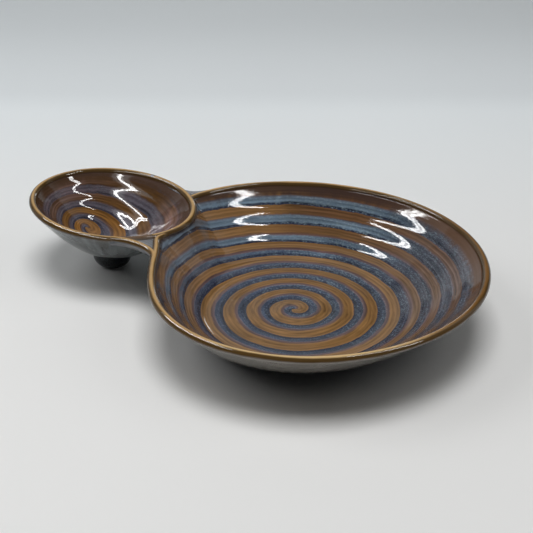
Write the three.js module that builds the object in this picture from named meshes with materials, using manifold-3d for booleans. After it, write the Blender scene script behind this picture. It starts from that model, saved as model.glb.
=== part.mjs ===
// Chip and dip platter in thrown and glazed stoneware: a round dish with a spiral of throwing ridges, and a
// smaller oval dip bowl luted into one side of its rim. A nub of clay carries the bowl at the dish's level,
// two webs fill the notches between the rims, and a coil is worked into the seam under the bowl.
// Millimetres, +Z up. The origin is on the dish's axis, on the flat base that it stands on, and the bowl lies
// at -X. Angles are in degrees about +Z, from +X.
import * as THREE from "three";
import { mergeVertices } from "three/addons/utils/BufferGeometryUtils.js";
import Module from "manifold-3d";

// Dish
const DISH_DIAMETER = 240; // over the rim, across the round part
const DISH_HEIGHT = 45.8; // table to the top of the rim
const DISH_FLOOR_THICKNESS = 7.4;
const DISH_FLOOR_RADIUS = 53; // flat part of the inside, before the wall starts to rise
const DISH_BASE_RADIUS = 58; // flat base that stands on the table
const DISH_BASE_EDGE = 3.4; // height of the trimmed edge round the base
const DISH_ROUNDNESS = 0.9; // of the inside: 0 is a cone, larger is a rounder bottom
const DISH_OUTSIDE_ROUNDNESS = 0.5; // the outside is straighter, which keeps the wall thin
const RIM_THICKNESS = 5.2; // round lip of the dish and of the bowl

// Where the dish is pinched in towards the bowl
const PINCH_ANGLE = 210; // where the pinch is deepest
const PINCH_DEPTH = 29.5;
const PINCH_SPREAD_FRONT = 36; // how far round the rim the pinch runs out, either way
const PINCH_SPREAD_BACK = 24;
const JOIN_ANGLE = 190; // the rim stands highest here, beside the bowl
const JOIN_LIFT = 2.5;
const JOIN_SPREAD = 45;

// Dip bowl
const BOWL_LENGTH = 119; // over the rim, along X
const BOWL_WIDTH = 105;
const BOWL_HEIGHT = 52; // table to the rim, at the middle of the bowl
const BOWL_TILT = 4.3; // the outer end of the rim stands higher than the divider
const BOWL_BITE = 37; // how far the bowl reaches in over the dish's full circle
const BOWL_SIDE = -3; // the bowl is luted on a little towards the front
const BOWL_CLEARANCE = 11.4; // table to the lowest point of the bowl's underside
const BOWL_FLOOR_THICKNESS = 6.6;
const BOWL_LOW_SHIFT = 4.5; // the bowl is deepest this far towards its outer end
const BOWL_ROUNDNESS = 1.5;

// Throwing ridges, one spiral in each hollow
const DISH_RIDGE_PITCH = 14.9;
const DISH_RIDGE_HEIGHT = 0.6; // groove to crest
const DISH_RIDGE_TURN = 193; // where the first groove starts
const BOWL_RIDGE_PITCH = 12.8;
const BOWL_RIDGE_HEIGHT = 0.6;
const BOWL_RIDGE_TURN = 219;
const BOWL_RIDGE_SHIFT = 26.7; // the spiral starts this far towards the outer end
const RIDGE_FADE = 0.2; // share of the wall, under the rim, over which the ridges fade out

// Joint between the two: the dish's wall is cut down under the bowl's rim
const SEAM_DROP = 3.5; // how much lower the dish's wall is there
const CORNER_BLEND_WIDTH = 12; // rounds the corners where the dish's rim turns along the bowl
const WEB_THICKNESS = 6;
const WEB_SINK = 1.2; // the webs lie lower than the rims
const WEB_EDGE_ROLL = 75; // how far round the outer edge of a web is rounded, above and below
const FRONT_WEB_ALONG_BOWL = 32;
const FRONT_WEB_ALONG_DISH = 28;
const BACK_WEB_ALONG_BOWL = 45;
const BACK_WEB_ALONG_DISH = 27;
const COIL_DIAMETER = 9;
const COIL_INSET = 8; // from the bowl's outer edge to the middle of the coil
const COIL_DROP = 2.3; // how far the middle of the coil lies under the bowl's underside
const COIL_END_ROOM = 6; // the coil stops this far short of each corner

// Nub foot under the bowl, on the platter's long axis
const FOOT_DIAMETER = 27;
const FOOT_FLAT_DIAMETER = 12; // where it touches the table
const FOOT_BULGE_HEIGHT = 8; // height at which it is widest
const FOOT_SHIFT = 7; // from the middle of the bowl, towards the outer end

const CLAY_GAP = 0.3; // slip-filled gap between luted pieces

// Fineness of the surfaces
const DISH_STEPS = 72;
const BOWL_STEPS = 44;
const FOOT_STEPS = 24;
const ROWS_PER_RIDGE = 4;
const LIP_ROWS = 4;
const OUTSIDE_ROWS = 6;
const WEB_STEPS = 5;
const WEB_ROWS = 6;
const WEB_EDGE_ROWS = 3;
const COIL_ROWS = 20;
const COIL_STEPS = 10;

const TURN = 2 * Math.PI;
const radians = THREE.MathUtils.degToRad;
const lipRadius = RIM_THICKNESS / 2;
const dishCrest = DISH_DIAMETER / 2 - lipRadius; // radius of the top of the dish's rim
const bowlHalfLength = BOWL_LENGTH / 2 - lipRadius; // the top of the bowl's rim is an oval
const bowlHalfWidth = BOWL_WIDTH / 2 - lipRadius;
const bowlX = -(DISH_DIAMETER / 2 - BOWL_BITE + BOWL_LENGTH / 2);
const bowlLow = new THREE.Vector3(bowlX - BOWL_LOW_SHIFT, BOWL_SIDE, BOWL_CLEARANCE); // lowest point outside
const bowlFloorHeight = BOWL_CLEARANCE + BOWL_FLOOR_THICKNESS;
const lidHeight = 2 * (DISH_HEIGHT + BOWL_HEIGHT);

const wasm = await Module();
wasm.setup();

// A hyperbola: round at the bottom, nearly straight towards the rim.
const roundWall = (share, roundness) =>
  (Math.hypot(share, roundness) - roundness) / (Math.hypot(1, roundness) - roundness);

const bell = (angle, centre, spread) => {
  const off = THREE.MathUtils.euclideanModulo(angle - centre + Math.PI, TURN) - Math.PI;
  return Math.exp(-0.5 * (off / spread) ** 2);
};

// The lesser of two lengths, with the corner between them rounded over the given blend.
function roundedMin(a, b, blend) {
  const near = Math.max(blend - Math.abs(a - b), 0) / blend;
  return Math.min(a, b) - (near * near * blend) / 4;
}

const ease = (share) => THREE.MathUtils.smoothstep(share, 0, 1);

const bowlRimHeight = (x) => BOWL_HEIGHT - Math.tan(radians(BOWL_TILT)) * (x - bowlX);

// Top of the bowl's rim: an oval, tilted so that its outer end stands higher.
function bowlRim(angle) {
  const x = bowlX + bowlHalfLength * Math.cos(angle);
  const y = BOWL_SIDE + bowlHalfWidth * Math.sin(angle);
  return new THREE.Vector3(x, y, bowlRimHeight(x));
}

// Lengths of a ray from a point to the near and the far side of the bowl's oval rim, narrowed by an inset.
// They are not numbers where the ray misses it.
function rayThroughBowl(from, angle, inset = 0) {
  const scale = new THREE.Vector2(1 / (bowlHalfLength - inset), 1 / (bowlHalfWidth - inset));
  const way = new THREE.Vector2(Math.cos(angle), Math.sin(angle)).multiply(scale);
  const start = new THREE.Vector2(from.x - bowlX, from.y - BOWL_SIDE).multiply(scale);
  const along = -start.dot(way);
  const reach = Math.sqrt(along * along - way.lengthSq() * (start.lengthSq() - 1));
  return [(along - reach) / way.lengthSq(), (along + reach) / way.lengthSq()];
}

// Length of the ray from the dish's axis to the top of the bowl's rim, or infinity where it misses the bowl.
function distanceToBowl(angle) {
  const [near] = rayThroughBowl(new THREE.Vector2(), angle);
  return near > 0 ? near : Infinity;
}

// Radius of the dish's rim as thrown and pinched, before it is fitted to the bowl.
function freeRadius(angle) {
  const front = THREE.MathUtils.euclideanModulo(angle - radians(PINCH_ANGLE), TURN) < Math.PI;
  const spread = radians(front ? PINCH_SPREAD_FRONT : PINCH_SPREAD_BACK);
  return dishCrest - PINCH_DEPTH * bell(angle, radians(PINCH_ANGLE), spread);
}

// Share of the way that the dish's rim has gone down under the bowl's rim.
const underBowl = (angle) => ease((freeRadius(angle) - distanceToBowl(angle)) / CORNER_BLEND_WIDTH + 0.5);

// Top of the dish's rim.
function dishRim(angle) {
  const radius = roundedMin(freeRadius(angle), distanceToBowl(angle), CORNER_BLEND_WIDTH);
  const lift = JOIN_LIFT * bell(angle, radians(JOIN_ANGLE), radians(JOIN_SPREAD));
  const z = DISH_HEIGHT + lift - SEAM_DROP * underBowl(angle);
  return new THREE.Vector3(radius * Math.cos(angle), radius * Math.sin(angle), z);
}

// Level direction that points out of a rim, square to it.
function outward(rim, angle) {
  const step = 1e-3;
  const along = rim(angle + step).sub(rim(angle - step));
  return new THREE.Vector3(along.y, -along.x, 0).normalize();
}

// Point on the round lip: the roll is 0 on the inner side, 90 degrees on top and 180 on the outer side.
function lipPoint(rim, angle, roll, grow = 0) {
  const radius = lipRadius + grow;
  const point = rim(angle);
  point.z += radius * Math.sin(roll) - lipRadius;
  return point.addScaledVector(outward(rim, angle), -radius * Math.cos(roll));
}

// A closed body through rings of points, each ring turning counter-clockwise seen from its start, between a
// first and a last point.
function closedLoft(first, rings, last) {
  const count = rings[0].length;
  const points = [first, ...rings.flat(), last];
  const at = (ring, step) => 1 + ring * count + (step % count);
  const end = points.length - 1;
  const index = [];
  for (let step = 0; step < count; step++) {
    index.push(0, at(0, step), at(0, step + 1));
    index.push(end, at(rings.length - 1, step + 1), at(rings.length - 1, step));
    for (let ring = 0; ring + 1 < rings.length; ring++) {
      index.push(at(ring, step), at(ring + 1, step), at(ring + 1, step + 1));
      index.push(at(ring, step), at(ring + 1, step + 1), at(ring, step + 1));
    }
  }
  const geometry = new THREE.BufferGeometry().setFromPoints(points);
  geometry.setIndex(index);
  return geometry;
}

function solid(geometry) {
  const merged = mergeVertices(geometry, 1e-4);
  const vertProperties = merged.attributes.position.array;
  const triVerts = new Uint32Array(merged.index.array);
  return new wasm.Manifold(new wasm.Mesh({ numProp: 3, vertProperties, triVerts }));
}

function geometryOf(body) {
  const mesh = body.getMesh();
  const geometry = new THREE.BufferGeometry();
  geometry.setAttribute("position", new THREE.BufferAttribute(new Float32Array(mesh.vertProperties), 3));
  geometry.setIndex(new THREE.BufferAttribute(new Uint32Array(mesh.triVerts), 1));
  geometry.computeVertexNormals();
  return geometry;
}

const ring = (steps, pointAt) => Array.from({ length: steps }, (_, step) => pointAt((step / steps) * TURN));
const circle = (steps, radius, z) =>
  ring(steps, (angle) => new THREE.Vector3(radius * Math.cos(angle), radius * Math.sin(angle), z));
const shares = (count) => Array.from({ length: count }, (_, row) => (row + 1) / count);

// Height of a spiral ridge at a distance along the wall from the middle: grooves below zero, crests above.
// The ridge fades out at the middle and under the rim.
function ridge(distance, angle, share, pitch, height, turn) {
  const fade = ease(distance / pitch) * ease((1 - share) / RIDGE_FADE);
  return -(height / 2) * fade * Math.cos((TURN * distance) / pitch - angle + radians(turn));
}

// Rings of the dish's outside, from the top of its rim to the edge of its flat base.
function dishOutside(grow = 0) {
  const lip = shares(LIP_ROWS).map((share) =>
    ring(DISH_STEPS, (angle) => lipPoint(dishRim, angle, ((1 + share) * Math.PI) / 2, grow)),
  );
  const wall = shares(OUTSIDE_ROWS).map((share) =>
    ring(DISH_STEPS, (angle) => {
      const top = lipPoint(dishRim, angle, Math.PI, grow);
      const base = new THREE.Vector3(Math.cos(angle), Math.sin(angle), 0);
      base.multiplyScalar(DISH_BASE_RADIUS + grow).setZ(DISH_BASE_EDGE - grow);
      const point = base.clone().lerp(top, 1 - share);
      const rise = roundWall(1 - share, DISH_OUTSIDE_ROUNDNESS);
      return point.setZ(base.z + (top.z - base.z) * rise);
    }),
  );
  const base = circle(DISH_STEPS, DISH_BASE_RADIUS - DISH_BASE_EDGE / 2 + grow, -grow);
  return [...lip, ...wall, base];
}

function dishInside() {
  const wallLength = dishCrest - lipRadius - DISH_FLOOR_RADIUS + (DISH_HEIGHT - DISH_FLOOR_THICKNESS) / 2;
  const floorRows = Math.round((ROWS_PER_RIDGE * DISH_FLOOR_RADIUS) / DISH_RIDGE_PITCH);
  const wallRows = Math.round((ROWS_PER_RIDGE * wallLength) / DISH_RIDGE_PITCH);
  const ridgeAt = (distance, angle, share) =>
    ridge(distance, angle, share, DISH_RIDGE_PITCH, DISH_RIDGE_HEIGHT, DISH_RIDGE_TURN);
  const floor = shares(floorRows).map((share) =>
    ring(DISH_STEPS, (angle) => {
      const radius = share * DISH_FLOOR_RADIUS;
      const z = DISH_FLOOR_THICKNESS + ridgeAt(radius, angle, 0);
      return new THREE.Vector3(radius * Math.cos(angle), radius * Math.sin(angle), z);
    }),
  );
  const wall = shares(wallRows).map((share) =>
    ring(DISH_STEPS, (angle) => {
      const top = lipPoint(dishRim, angle, 0);
      const foot = new THREE.Vector3(Math.cos(angle), Math.sin(angle), 0).multiplyScalar(DISH_FLOOR_RADIUS);
      const rise = roundWall(share, DISH_ROUNDNESS) * (top.z - DISH_FLOOR_THICKNESS);
      const run = share * Math.hypot(top.x - foot.x, top.y - foot.y);
      const distance = DISH_FLOOR_RADIUS + Math.hypot(run, rise);
      const z = DISH_FLOOR_THICKNESS + rise + ridgeAt(distance, angle, share);
      return foot.lerp(top, share).setZ(z);
    }),
  );
  const lip = shares(LIP_ROWS - 1).map((share) =>
    ring(DISH_STEPS, (angle) => lipPoint(dishRim, angle, (share * Math.PI) / 2)),
  );
  return [...floor, ...wall, ...lip];
}

// Rings of the bowl's outside, from the top of its rim to the middle of its underside.
function bowlOutside(grow = 0) {
  const lip = shares(LIP_ROWS).map((share) =>
    ring(BOWL_STEPS, (angle) => lipPoint(bowlRim, angle, ((1 + share) * Math.PI) / 2, grow)),
  );
  const wall = shares(OUTSIDE_ROWS)
    .slice(0, -1)
    .map((share) => ring(BOWL_STEPS, (angle) => bowlUnderside(angle, 1 - share, grow)));
  return [...lip, ...wall];
}

// Point on the bowl's underside, at a share of the way from its lowest point to its rim.
function bowlUnderside(angle, share, grow = 0) {
  const top = lipPoint(bowlRim, angle, Math.PI, grow);
  const z = bowlLow.z + (top.z - bowlLow.z) * roundWall(share, BOWL_ROUNDNESS) - grow;
  return bowlLow.clone().lerp(top, share).setZ(z);
}

// Height of the bowl's inside over a point of the plan, without its ridges.
function bowlInsideHeight(x, y) {
  const angle = Math.atan2(y - bowlLow.y, x - bowlLow.x);
  const [, reach] = rayThroughBowl(bowlLow, angle, lipRadius);
  const share = Math.min(Math.hypot(x - bowlLow.x, y - bowlLow.y) / reach, 1);
  const depth = bowlRimHeight(x) - lipRadius - bowlFloorHeight;
  return bowlFloorHeight + depth * roundWall(share, BOWL_ROUNDNESS);
}

const bowlRidgeStart = new THREE.Vector3(bowlX - BOWL_RIDGE_SHIFT, BOWL_SIDE, 0);

function bowlInside() {
  const meanRadius = (bowlHalfLength + bowlHalfWidth) / 2 - lipRadius;
  const rows = Math.round((ROWS_PER_RIDGE * meanRadius) / BOWL_RIDGE_PITCH);
  const wall = shares(rows).map((share) =>
    ring(BOWL_STEPS, (angle) => {
      const point = bowlRidgeStart.clone().lerp(lipPoint(bowlRim, angle, 0), share);
      const distance = share * meanRadius;
      const height = ridge(distance, angle, share, BOWL_RIDGE_PITCH, BOWL_RIDGE_HEIGHT, BOWL_RIDGE_TURN);
      return point.setZ(bowlInsideHeight(point.x, point.y) + height);
    }),
  );
  const lip = shares(LIP_ROWS - 1).map((share) =>
    ring(BOWL_STEPS, (angle) => lipPoint(bowlRim, angle, (share * Math.PI) / 2)),
  );
  return [...wall, ...lip];
}

const onAxis = (z) => new THREE.Vector3(0, 0, z);
const underBowlAt = (z) => bowlLow.clone().setZ(z);
const raised = (rim, steps) => ring(steps, (angle) => rim(angle).setZ(lidHeight));

// The space that each hollow piece takes up, with its slip gap, for cutting what is luted to it.
function dishSpace() {
  const rings = [raised(dishRim, DISH_STEPS), ...dishOutside(CLAY_GAP)];
  return solid(closedLoft(onAxis(lidHeight), rings, onAxis(-CLAY_GAP)));
}

function bowlSpace() {
  const rings = [raised(bowlRim, BOWL_STEPS), ...bowlOutside(CLAY_GAP)];
  return solid(closedLoft(underBowlAt(lidHeight), rings, underBowlAt(bowlLow.z - CLAY_GAP)));
}

function dish() {
  const rings = [...dishInside(), ...dishOutside()];
  return solid(closedLoft(onAxis(DISH_FLOOR_THICKNESS), rings, onAxis(0))).subtract(bowlSpace());
}

function dipBowl() {
  const start = bowlRidgeStart.clone().setZ(bowlInsideHeight(bowlRidgeStart.x, bowlRidgeStart.y));
  return solid(closedLoft(start, [...bowlInside(), ...bowlOutside()], bowlLow));
}

// A nub that bulges from its flat up to its full width, and runs on up into the bowl's underside.
function bowlFoot() {
  const flat = FOOT_FLAT_DIAMETER / 2;
  const swell = FOOT_DIAMETER / 2 - flat;
  const x = bowlX - FOOT_SHIFT;
  const circleAt = (radius, z) => circle(FOOT_STEPS, radius, z).map((point) => point.setX(point.x + x));
  const bulge = shares(LIP_ROWS).map((share) => {
    const roll = (1 - share) * (Math.PI / 2);
    return circleAt(flat + swell * Math.sin(roll), FOOT_BULGE_HEIGHT * (1 - Math.cos(roll)));
  });
  const top = BOWL_HEIGHT / 2;
  const widest = [top, FOOT_BULGE_HEIGHT].map((z) => circleAt(FOOT_DIAMETER / 2, z));
  const body = closedLoft(new THREE.Vector3(x, 0, top), [...widest, ...bulge], new THREE.Vector3(x, 0, 0));
  return solid(body).subtract(bowlSpace());
}

// Angle on the dish's rim where it crosses the bowl's rim, one way round from the middle of the divider.
function crossing(way) {
  let inside = Math.PI;
  let outside = Math.PI + (way * Math.PI) / 2;
  for (let halving = 0; halving < 40; halving++) {
    const middle = (inside + outside) / 2;
    if (distanceToBowl(middle) < freeRadius(middle)) inside = middle;
    else outside = middle;
  }
  return inside;
}

const angleOnBowl = (point) =>
  Math.atan2((point.y - BOWL_SIDE) / bowlHalfWidth, (point.x - bowlX) / bowlHalfLength);

// Angle on a rim after going a length along it from a starting angle, one way round.
function walk(rim, start, way, length) {
  const step = way * 1e-3;
  let angle = start;
  for (let gone = 0; gone < length; angle += step) gone += rim(angle).distanceTo(rim(angle + step));
  return angle;
}

// A thick web between the two rims, from where they have parted far enough to its rounded outer edge.
function web(way, alongBowl, alongDish) {
  const corner = crossing(way);
  const cornerOnBowl = angleOnBowl(dishRim(corner));
  const endOnDish = walk(dishRim, corner, way, alongDish);
  const endOnBowl = walk(bowlRim, cornerOnBowl, -way, alongBowl);
  const sides = (share) => [
    bowlRim(THREE.MathUtils.lerp(cornerOnBowl, endOnBowl, share)),
    dishRim(THREE.MathUtils.lerp(corner, endOnDish, share)),
  ];
  const apart = (share) => {
    const across = sides(share)[1].sub(sides(share)[0]);
    return Math.hypot(across.x, across.y);
  };
  const tries = 100;
  const start = shares(tries).find((share) => apart(share) > RIM_THICKNESS + WEB_THICKNESS / 2);

  const outerEdge = sides(1)[1].sub(sides(1)[0]);
  const out = new THREE.Vector3(way * outerEdge.y, -way * outerEdge.x, 0).normalize();
  const section = (share, roll) => {
    const [onBowl, onDish] = sides(share);
    const half = (WEB_THICKNESS / 2) * Math.cos(roll);
    const push = (WEB_THICKNESS / 2) * Math.sin(roll);
    const middle = -WEB_SINK - WEB_THICKNESS / 2;
    const line = [0, ...shares(WEB_STEPS)].map((across) => onBowl.clone().lerp(onDish, across));
    const shift = (z) => out.clone().multiplyScalar(push).setZ(middle + z);
    const moved = (z) => line.map((point) => point.clone().add(shift(z)));
    const loop = [...moved(half), ...moved(-half).reverse()];
    return way > 0 ? loop : loop.reverse();
  };
  const flat = [0, ...shares(WEB_ROWS)].map((share) => section(start + (1 - start) * share, 0));
  const edge = shares(WEB_EDGE_ROWS).map((share) => section(1, share * radians(WEB_EDGE_ROLL)));
  const rings = [...flat, ...edge];
  const middleOf = (loop) => new THREE.Box3().setFromPoints(loop).getCenter(new THREE.Vector3());
  const body = closedLoft(middleOf(rings[0]), rings, middleOf(rings.at(-1)));
  return solid(body).subtract(bowlSpace()).subtract(dishSpace());
}

// A coil along the seam, pressed between the bowl's underside and the dish's wall.
function seamCoil() {
  const first = walk(bowlRim, angleOnBowl(dishRim(crossing(1))), 1, COIL_END_ROOM);
  const last = walk(bowlRim, angleOnBowl(dishRim(crossing(-1))), -1, COIL_END_ROOM);
  const middle = (angle) => {
    const edge = bowlUnderside(angle, 1);
    const share = 1 - COIL_INSET / Math.hypot(edge.x - bowlLow.x, edge.y - bowlLow.y);
    return bowlUnderside(angle, share).sub(onAxis(COIL_DROP));
  };
  const angles = [0, ...shares(COIL_ROWS)].map((share) => THREE.MathUtils.lerp(first, last, share));
  const rings = angles.map((angle) =>
    ring(COIL_STEPS, (roll) =>
      middle(angle)
        .addScaledVector(outward(bowlRim, angle), (COIL_DIAMETER / 2) * Math.cos(roll))
        .add(onAxis((COIL_DIAMETER / 2) * Math.sin(roll))),
    ),
  );
  return solid(closedLoft(middle(first), rings, middle(last))).subtract(bowlSpace()).subtract(dishSpace());
}

const glaze = (color, roughness) => new THREE.MeshStandardMaterial({ color, roughness, metalness: 0 });

const pieces = {
  dish: [dish(), glaze("#6b5a4e", 0.12)],
  dip_bowl: [dipBowl(), glaze("#5f5148", 0.12)],
  bowl_foot: [bowlFoot(), glaze("#2b3a3d", 0.2)],
  front_web: [web(1, FRONT_WEB_ALONG_BOWL, FRONT_WEB_ALONG_DISH), glaze("#66727d", 0.15)],
  back_web: [web(-1, BACK_WEB_ALONG_BOWL, BACK_WEB_ALONG_DISH), glaze("#66727d", 0.15)],
  seam_coil: [seamCoil(), glaze("#4d5a58", 0.2)],
};

const platter = new THREE.Group();
for (const [name, [body, material]] of Object.entries(pieces)) {
  const mesh = new THREE.Mesh(geometryOf(body), material);
  mesh.name = name;
  platter.add(mesh);
}

export default platter;
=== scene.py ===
"""Looks of a hand-thrown chip and dip platter: a round dish and an oval dip bowl luted into its rim, under
one gloss rutile glaze that breaks amber on ridges and rims and pools blue in the grooves.

Shapes are worked out in millimetres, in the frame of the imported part, and written to the meshes in metres.
"""

import bpy
import numpy as np
from mathutils import Matrix, Vector


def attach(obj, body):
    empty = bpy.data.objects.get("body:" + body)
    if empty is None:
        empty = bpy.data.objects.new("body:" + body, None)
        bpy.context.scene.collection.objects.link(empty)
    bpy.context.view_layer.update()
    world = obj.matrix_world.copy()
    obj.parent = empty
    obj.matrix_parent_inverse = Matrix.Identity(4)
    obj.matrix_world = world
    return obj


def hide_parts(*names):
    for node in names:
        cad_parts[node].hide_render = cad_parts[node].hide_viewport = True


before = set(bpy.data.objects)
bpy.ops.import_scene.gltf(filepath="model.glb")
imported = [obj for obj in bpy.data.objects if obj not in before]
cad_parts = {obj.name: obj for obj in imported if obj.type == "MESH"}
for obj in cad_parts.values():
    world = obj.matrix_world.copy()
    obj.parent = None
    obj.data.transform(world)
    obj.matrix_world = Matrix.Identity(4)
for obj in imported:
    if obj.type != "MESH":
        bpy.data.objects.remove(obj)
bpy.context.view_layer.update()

MM = 0.001
TURN = 2 * np.pi
RIM_STEP = 1e-3  # angle over which the slope of a rim is taken

# Dish
DISH_DIAMETER = 240.0
DISH_HEIGHT = 45.8
DISH_FLOOR_THICKNESS = 7.4
DISH_FLOOR_RADIUS = 53.0
DISH_BASE_RADIUS = 58.0
DISH_BASE_EDGE = 3.4
DISH_ROUNDNESS = 0.9
DISH_OUTSIDE_ROUNDNESS = 0.5
LIP = 2.6  # radius of the round lip of dish and bowl

# Where the dish is pinched in towards the bowl
PINCH_ANGLE = np.radians(210)
PINCH_DEPTH = 29.5
PINCH_SPREAD_FRONT = np.radians(36)
PINCH_SPREAD_BACK = np.radians(24)
JOIN_ANGLE = np.radians(190)
JOIN_LIFT = 2.5
JOIN_SPREAD = np.radians(45)
CORNER_BLEND = 12.0
CORNER_SPREAD = np.radians(9)  # the corners by the bowl are this soft low on the wall
STEP_SPREAD = np.radians(20)  # and the steps round the foot of the wall are evened out over this angle
SEAM_TUCK = 0.5  # the dish's lip lies this far inside the bowl's lip along the divider

# Dip bowl
BOWL_LENGTH = 119.0
BOWL_WIDTH = 105.0
BOWL_HEIGHT = 52.0
BOWL_TILT = np.radians(4.3)
BOWL_BITE = 37.0
BOWL_SIDE = -3.0
BOWL_CLEARANCE = 11.4
BOWL_FLOOR_THICKNESS = 6.6
BOWL_LOW_SHIFT = 4.5
BOWL_ROUNDNESS = 1.5

# Throwing ridges
DISH_RIDGE_PITCH = 14.9
DISH_RIDGE_HEIGHT = 0.6
DISH_RIDGE_TURN = np.radians(103)
RIDGE_LEAD = np.radians(90)  # the wall is steepest in the middle of the blue band
RIDGE_CROWD = 2.4  # the dish's ridges climb the wall sooner by this much
RIDGE_CROWD_RUN = 34.0  # length of wall over which they close up
RIDGE_CROWD_FAR = (3.7, np.radians(115), np.radians(45))  # more on the far side: length, angle, spread
RIDGE_CROWD_DIVIDER = (4.0, np.radians(185), np.radians(16))  # and more on the divider
BOWL_RIDGE_PITCH = 12.8
BOWL_RIDGE_HEIGHT = 0.6
BOWL_RIDGE_TURN = np.radians(129)
BOWL_RIDGE_SHIFT = 26.7
BOWL_SMOOTH_START = 4.0  # past the middle, towards the divider, the bowl's ridges are wiped smooth
BOWL_SMOOTH_RUN = 34.0
RIDGE_FADE = 0.2

# Webs, seam coil and foot
WEB_SINK = 2.0
WEB_DEPTH = 7.2
WEB_BEAD = LIP - 0.15
FRONT_WEB = {"along_bowl": 32.0, "along_dish": 31.0, "edge_drop": 0.0, "bead_below": 0.0}
BACK_WEB = {"along_bowl": 45.0, "along_dish": 27.0, "edge_drop": 4.0, "bead_below": 9.0}
COIL_RADIUS = 4.5
COIL_INSET = 8.0
COIL_DROP = 2.3
COIL_END_ROOM = 6.0
COIL_PRESSES = 9
COIL_PRESS_DEPTH = 0.1  # share of the radius that a finger went in
FOOT_RADIUS = 13.5
FOOT_FLAT_RADIUS = 6.0
FOOT_BULGE_HEIGHT = 8.0
FOOT_SHIFT = 7.0
FOOT_TOP = 18.0  # height at which the foot ends inside the bowl's clay

# Trimming rings on the dish's base
TRIM_RINGS = 15
TRIM_HEIGHT = 0.24
TRIM_REACH = 0.985  # share of the way to the middle

# Steps round the pieces and rows along them
DISH_STEPS = 372
DISH_FLOOR_ROWS = 56
DISH_WALL_ROWS = 84
DISH_BASE_ROWS = 30
BOWL_STEPS = 264
BOWL_INSIDE_ROWS = 110
LIP_ROWS = 24
OUTSIDE_ROWS = 40
FOOT_STEPS = 96
FOOT_STEM_ROWS = 18
FOOT_BULGE_ROWS = 24
FOOT_FLAT_ROWS = 8
WEB_ROWS = 61
WEB_PLATE_STEPS = 22
WEB_BEAD_STEPS = 19
WEB_UNDER_STEPS = 12
COIL_ROWS = 161
COIL_STEPS = 40

# Fine steps for lengths along the rims
EVEN_STEPS = 14401
CROSSING_STEPS = 20001
WALK_STEPS = 4001
WALK_REACH = 2.0  # angle that a walk can cover
FAR_AWAY = 1e6

# Lengths that the glaze is drawn by, down from the lips and along the walls
DISH_INSIDE_RUN = 75.0
DISH_OUTSIDE_RUN = 70.0
BOWL_RUN = 60.0
LIP_RUN = 10.0
BASE_START = 200.0
BASE_RUN = 60.0
WEB_PLATE_BELOW = 14.0
WEB_UNDER_BELOW = 12.0
BARE_EDGE_ROWS = 2  # the wiped clay reaches this many rows up from a base
JOIN_CLEAR = 8.0  # the divider has the glaze from this much lower down, clear of the dark band
JOIN_CLEAR_SPREAD = np.radians(24)
JOIN_CLEAR_SHARE = 0.04
WEB_COVER = 5.0  # the bowl's lip beside the front web has the glaze from this much lower down

# Painted reflections of the bright room over the spiral, as pale patches: strength, angle and spread round
# the wall, share of the wall where each starts, and the share over which it comes in
RIGHT_PAINTED_REFLECTION = (0.35, np.radians(32), np.radians(18), 0.12, 0.30)
LEFT_PAINTED_REFLECTION = (0.20, np.radians(206), np.radians(26), 0.02, 0.25)
BOWL_PAINTED_REFLECTION = (0.50, np.pi, np.radians(42), 0.40, 0.30)

DISH_CREST = DISH_DIAMETER / 2 - LIP
DISH_WALL_LENGTH = np.hypot(DISH_CREST - LIP - DISH_FLOOR_RADIUS, DISH_HEIGHT - LIP - DISH_FLOOR_THICKNESS)
BOWL_HALF_LENGTH = BOWL_LENGTH / 2 - LIP
BOWL_HALF_WIDTH = BOWL_WIDTH / 2 - LIP
BOWL_X = -(DISH_DIAMETER / 2 - BOWL_BITE + BOWL_LENGTH / 2)
BOWL_LOW = np.array([BOWL_X - BOWL_LOW_SHIFT, BOWL_SIDE, BOWL_CLEARANCE])
BOWL_FLOOR_HEIGHT = BOWL_CLEARANCE + BOWL_FLOOR_THICKNESS


# Shared curves


def ease(share):
    """Rises smoothly from 0 to 1 as share goes from 0 to 1: three squares less two cubes."""
    t = np.clip(share, 0, 1)
    return t * t * (3 - 2 * t)


def bell(angle, centre, spread):
    """A bell curve of the angle's distance from a centre, taken the short way round."""
    off = np.mod(angle - centre + np.pi, TURN) - np.pi
    return np.exp(-0.5 * (off / spread) ** 2)


def rounded_min(a, b, blend):
    """The lesser of two lengths, lowered by a square fillet where they are closer than the blend."""
    near = np.maximum(blend - np.abs(a - b), 0) / blend
    return np.minimum(a, b) - near * near * blend / 4


def round_wall(share, roundness):
    """Rise of a hyperbola, round at the bottom and straighter above, as a share of its whole rise."""
    return (np.hypot(share, roundness) - roundness) / (np.hypot(1, roundness) - roundness)


def turn_steps(count):
    """Angles once round, without the last one that repeats the first."""
    return np.arange(count) / count * TURN


def polar(radius, angle, z):
    """Points at a radius and angle about the dish's axis."""
    return np.stack(np.broadcast_arrays(radius * np.cos(angle), radius * np.sin(angle), z), -1)


def mix(a, b, share):
    """Straight line from a to b."""
    return a + (b - a) * share


# Rims


def bowl_rim_height(x):
    """Height of the bowl's tilted rim plane over x."""
    return BOWL_HEIGHT - np.tan(BOWL_TILT) * (x - BOWL_X)


def bowl_rim(angle):
    """Top line of the bowl's rim: an oval in a tilted plane."""
    x = BOWL_X + BOWL_HALF_LENGTH * np.cos(angle)
    y = BOWL_SIDE + BOWL_HALF_WIDTH * np.sin(angle)
    return np.stack([x, y, bowl_rim_height(x)], -1)


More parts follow.
